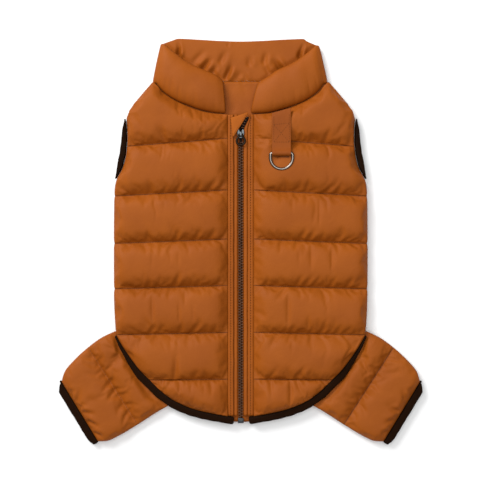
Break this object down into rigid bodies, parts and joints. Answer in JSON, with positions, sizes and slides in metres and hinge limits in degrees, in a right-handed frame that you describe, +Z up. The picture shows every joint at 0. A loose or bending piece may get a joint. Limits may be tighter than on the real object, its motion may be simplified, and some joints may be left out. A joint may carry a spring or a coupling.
{
  "type": "quilted dog winter coat",
  "caption": "Padded dog coat laid flat, zip side up, with stand-up collar, rear sleeves, elastic bindings, front zip and a lead strap with a D-ring.",
  "frame": {"origin": "on the floor under the middle of the coat's box", "axes": "+X to the viewer's right across the coat, +Y from the hem to the collar, +Z up from the floor through the zip side"},
  "size_m": [0.3844, 0.4259, 0.0237],
  "materials": {
    "shell": "woven nylon taffeta, padded and quilted",
    "lining": "woven nylon taffeta",
    "binding": "knitted elastic binding",
    "webbing": "folded and stitched fabric strap",
    "tape": "woven polyester zip tape",
    "teeth": "moulded teeth",
    "gunmetal": "gunmetal plated"
  },
  "bodies": {
    "coat": {"back_panel": "lining", "front_left": "shell", "front_right": "shell", "leg_left_top": "shell", "leg_left_under": "shell", "leg_right_top": "shell", "leg_right_under": "shell", "collar": "shell", "placket_left": "shell", "placket_right": "shell", "zip_tape": "tape", "zip_chain": "teeth", "zip_upper_teeth": "teeth", "zip_bottom_stop": "gunmetal", "zip_slider": "gunmetal", "zip_garage": "shell", "armhole_binding_left": "binding", "armhole_binding_right": "binding", "hem_binding_left": "binding", "hem_binding_right": "binding", "cuff_left": "binding", "cuff_right": "binding", "strap": "webbing"},
    "ring": {"d_ring": "gunmetal"},
    "pull": {"zip_pull": "gunmetal"}
  },
  "joints": [
    {"name": "ring_flip", "type": "hinge", "parent": "coat", "child": "ring", "pos_m": [0.0425, 0.092, 0.0204], "axis": [-1, 0, 0], "range_deg": [0, 160]},
    {"name": "pull_flip", "type": "hinge", "parent": "coat", "child": "pull", "pos_m": [0, 0.1122, 0.0122], "axis": [-1, 0, 0], "range_deg": [0, 130]}
  ]
}
